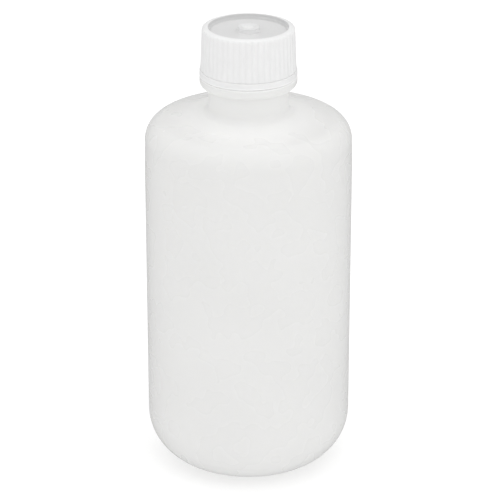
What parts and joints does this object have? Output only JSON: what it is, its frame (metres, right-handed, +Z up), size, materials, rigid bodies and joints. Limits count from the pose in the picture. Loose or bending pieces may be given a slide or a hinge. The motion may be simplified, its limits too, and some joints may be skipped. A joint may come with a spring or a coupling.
{
  "type": "reagent bottle",
  "caption": "Round narrow-mouth laboratory bottle in translucent plastic, with a ribbed screw cap, threaded neck and a sealing disc under the cap.",
  "frame": {"origin": "middle of the base, on the surface that the bottle stands on", "axes": "+Z up along the bottle's axis, out of the neck; the bottle is round, so X and Y are free, and +Y points away from the usual viewer"},
  "size_m": [0.0914, 0.0914, 0.2044],
  "materials": {
    "natural_polyethylene": "translucent milky white, satin",
    "natural_polypropylene": "translucent, slightly cool, semi-gloss",
    "white_foam": "matt closed-cell foam"
  },
  "bodies": {
    "bottle": {"bottle": "natural_polyethylene"},
    "liner": {"cap_liner": "white_foam"},
    "cap": {"screw_cap": "natural_polypropylene"}
  },
  "joints": [
    {"name": "cap_rise", "type": "slide", "parent": "bottle", "child": "liner", "axis": [0, 0, 1], "range_m": [0, 0.0212]},
    {"name": "cap_turn", "type": "hinge", "parent": "liner", "child": "cap", "pos_m": [0, 0, 0.2], "axis": [0, 0, 1], "range_deg": [0, 1800]}
  ],
  "couplings": [
    {"joint": "cap_rise", "follows": "cap_turn", "m_per_rad": 0.00067376}
  ]
}
